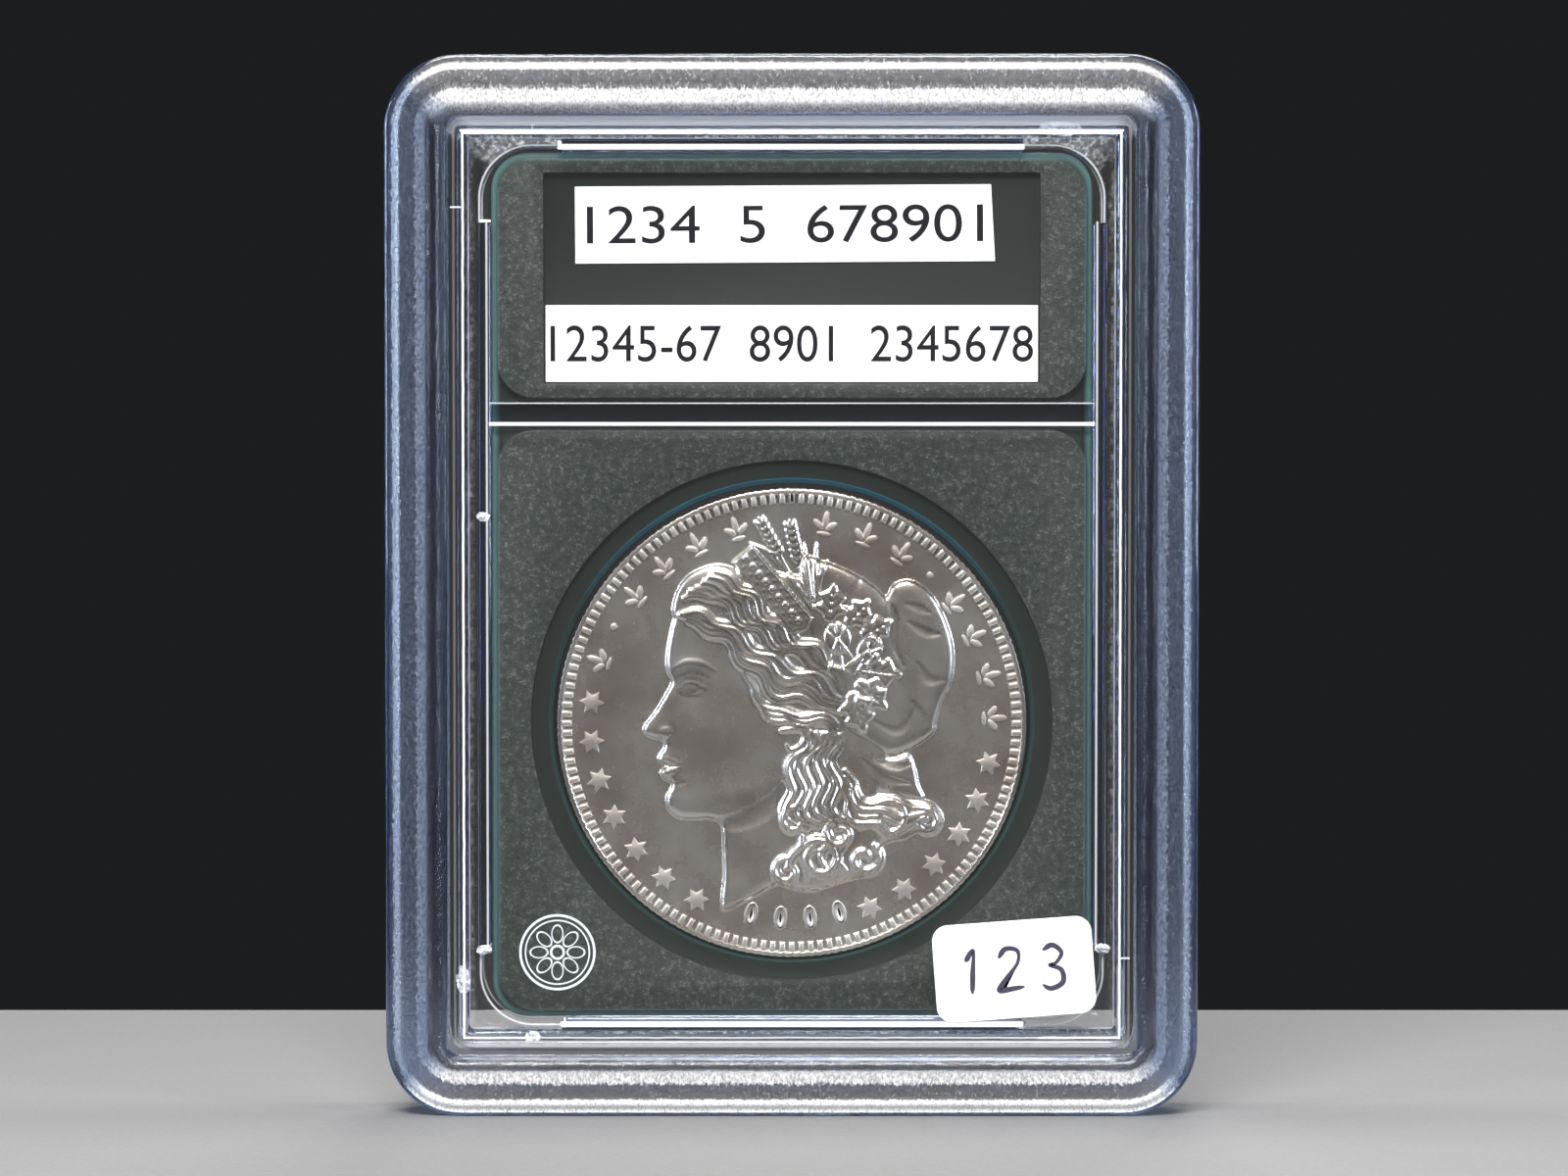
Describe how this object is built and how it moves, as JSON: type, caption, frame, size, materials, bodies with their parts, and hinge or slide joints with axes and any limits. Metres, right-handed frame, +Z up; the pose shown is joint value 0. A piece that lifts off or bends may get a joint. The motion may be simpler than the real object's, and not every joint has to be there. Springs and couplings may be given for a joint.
{
  "type": "coin slab",
  "caption": "Clear snap-together coin case: two ridged shells round a dark insert with a large silver coin, printed tapes and a lot sticker.",
  "frame": {"origin": "middle of the footprint, on the bottom edge that the slab stands on", "axes": "+Z up along the slab's height, +X to the right as seen from the front, front window towards -Y"},
  "size_m": [0.0654, 0.0086, 0.0855],
  "materials": {
    "clear_plastic": "clear polystyrene, polished windows with a frosted rim",
    "insert_plastic": "very dark green, fine matte grain with smooth recesses",
    "silver": "struck silver with a satin lustre, slightly warm",
    "label_tape": "smooth white printed tape",
    "sticker_paper": "matte white sticker with pen marks"
  },
  "bodies": {
    "back_shell": {"back_shell": "clear_plastic"},
    "front_shell": {"front_shell": "clear_plastic", "lot_sticker": "sticker_paper"},
    "insert": {"insert": "insert_plastic", "label_strip_upper": "label_tape", "label_strip_lower": "label_tape"},
    "coin": {"coin": "silver"}
  },
  "joints": [
    {"name": "front_shell_lift", "type": "slide", "parent": "back_shell", "child": "front_shell", "axis": [0, -1, 0], "range_m": [0, 0.03]},
    {"name": "insert_lift", "type": "slide", "parent": "back_shell", "child": "insert", "axis": [0, -1, 0], "range_m": [0, 0.01]},
    {"name": "coin_lift", "type": "slide", "parent": "insert", "child": "coin", "axis": [0, -1, 0], "range_m": [0, 0.01]}
  ],
  "couplings": [
    {"joint": "insert_lift", "follows": "front_shell_lift", "ratio": 0.3333},
    {"joint": "coin_lift", "follows": "front_shell_lift", "ratio": 0.3333}
  ]
}
